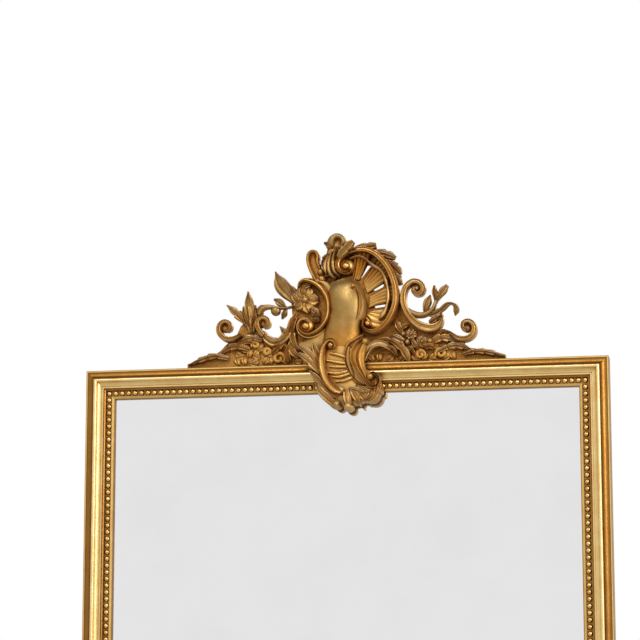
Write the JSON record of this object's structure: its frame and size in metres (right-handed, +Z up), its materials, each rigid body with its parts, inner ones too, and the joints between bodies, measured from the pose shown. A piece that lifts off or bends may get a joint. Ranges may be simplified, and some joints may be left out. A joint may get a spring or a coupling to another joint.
{
  "type": "pier mirror",
  "caption": "Tall gilded pier mirror: mitred moulded frame with pearl beads, plain plate, and a pierced asymmetrical scroll-and-shell crest; hung from swinging rings on its back.",
  "frame": {"origin": "midway between the two hanging rings, on their hinge line's height, in the plane of the frame's back face", "axes": "+Z up the frame, +X to the viewer's right, +Y back toward the wall; the glass faces -Y"},
  "size_m": [1.04, 0.0918, 1.8832],
  "materials": {
    "backboard_pine": "aged unpainted pine",
    "bare_pine": "sawn pine",
    "bumper_felt": "dense brown felt",
    "burnished_gilt": "burnished water gilding over red clay on gessoed carving",
    "gilt_beads": "gilded beads with dark toning between them",
    "gilt_ground": "matte gilded front of a fret-sawn pine board",
    "gilt_moulding": "oil gilding over gesso, toned and worn on the edges",
    "hanger_brass": "plain brass, tarnished",
    "matte_gilt": "matte gilding on gessoed carving, dusty on the upper faces",
    "mirror_plate": "silvered flat glass with no bevel",
    "screw_steel": "plain steel, dulled"
  },
  "bodies": {
    "frame": {"backboard_1": "backboard_pine", "backboard_2": "backboard_pine", "backboard_3": "backboard_pine", "backboard_4": "backboard_pine", "backboard_5": "backboard_pine", "backboard_screws": "screw_steel", "bottom_beads": "gilt_beads", "bottom_rail": "gilt_moulding", "cartouche_shield": "burnished_gilt", "corner_keys": "bare_pine", "crest_batten_left": "bare_pine", "crest_batten_right": "bare_pine", "crest_ground_board": "gilt_ground", "crest_screws": "screw_steel", "crown_bud": "matte_gilt", "crown_leaf": "matte_gilt", "glazing_blocks": "bare_pine", "ground_foliage_left": "matte_gilt", "ground_foliage_right": "matte_gilt", "hanger_screws": "screw_steel", "horn_scroll": "matte_gilt", "left_acanthus_stem": "matte_gilt", "left_beads": "gilt_beads", "left_c_scroll": "burnished_gilt", "left_curl_scroll": "matte_gilt", "left_end_scroll": "matte_gilt", "left_garland": "matte_gilt", "left_hanger_strap": "hanger_brass", "left_rosette": "matte_gilt", "left_stile": "gilt_moulding", "left_tall_leaf": "matte_gilt", "left_twig": "matte_gilt", "left_under_leaf": "matte_gilt", "left_upright_leaf": "matte_gilt", "mirror_plate": "mirror_plate", "pendant_base": "burnished_gilt", "pendant_drops": "matte_gilt", "pendant_left_scroll": "burnished_gilt", "pendant_ribs": "burnished_gilt", "pendant_right_scroll": "burnished_gilt", "pendant_side_leaves": "matte_gilt", "pendant_tail_leaf": "matte_gilt", "right_acanthus": "matte_gilt", "right_beads": "gilt_beads", "right_c_scroll": "burnished_gilt", "right_end_scroll": "matte_gilt", "right_flowers": "matte_gilt", "right_garland": "matte_gilt", "right_hanger_strap": "hanger_brass", "right_outer_scroll": "matte_gilt", "right_spray": "matte_gilt", "right_stile": "gilt_moulding", "rim_leaves": "matte_gilt", "shell_rays": "burnished_gilt", "shield_edge_scroll": "burnished_gilt", "top_beads": "gilt_beads", "top_rail": "gilt_moulding", "wall_bumpers": "bumper_felt"},
    "left_ring": {"left_hanging_ring": "hanger_brass"},
    "right_ring": {"right_hanging_ring": "hanger_brass"}
  },
  "joints": [
    {"name": "left_ring_swing", "type": "hinge", "parent": "frame", "child": "left_ring", "pos_m": [-0.503, 0.0056, 0], "axis": [1, 0, 0], "range_deg": [0, 180]},
    {"name": "right_ring_swing", "type": "hinge", "parent": "frame", "child": "right_ring", "pos_m": [0.503, 0.0056, 0], "axis": [1, 0, 0], "range_deg": [0, 180]}
  ]
}
